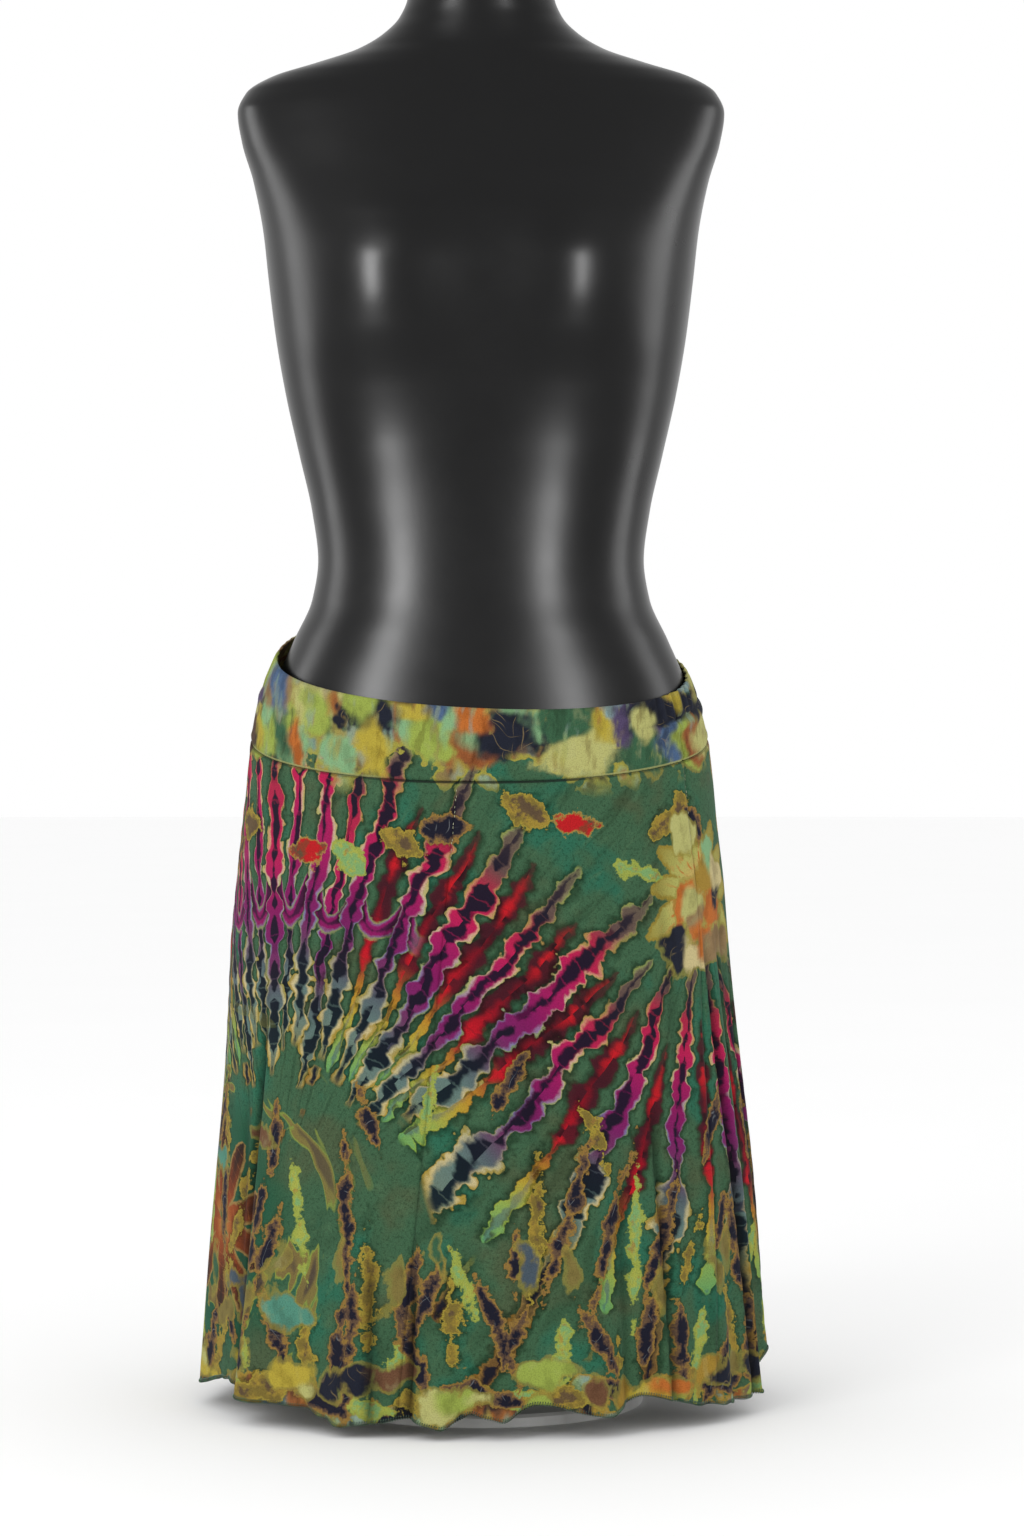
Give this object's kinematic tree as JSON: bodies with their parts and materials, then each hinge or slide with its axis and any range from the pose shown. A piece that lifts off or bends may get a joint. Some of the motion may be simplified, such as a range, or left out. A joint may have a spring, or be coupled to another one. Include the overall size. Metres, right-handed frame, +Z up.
{
  "type": "mini skirt on a limbless dress form",
  "caption": "Flared gored jersey mini skirt with a deep contour yoke, worn by a smooth limbless torso form that stands on a small round base hidden under the hem.",
  "frame": {"origin": "middle of the underside of the base plate, on the floor", "axes": "+Z up, -Y to the skirt's front, +X to the wearer's left"},
  "size_m": [0.394, 0.3281, 1],
  "materials": {
    "skirt_jersey": "matt fine jersey, tie-dyed green with magenta, red, ochre and near-black bursts",
    "yoke_jersey": "matt fine jersey, tie-dyed yellow-green, ochre, blue-grey and navy",
    "form_gloss": "black satin-gloss lacquer on fibreglass",
    "stand_steel": "plain brushed steel"
  },
  "bodies": {
    "root": {"gore_front_right": "skirt_jersey", "gore_front_left": "skirt_jersey", "gore_side_left": "skirt_jersey", "gore_back_left": "skirt_jersey", "gore_back_right": "skirt_jersey", "gore_side_right": "skirt_jersey", "yoke_front": "yoke_jersey", "yoke_back": "yoke_jersey", "form_torso": "form_gloss", "stand_flange": "stand_steel", "stand_post": "stand_steel", "stand_base": "stand_steel"}
  },
  "joints": []
}
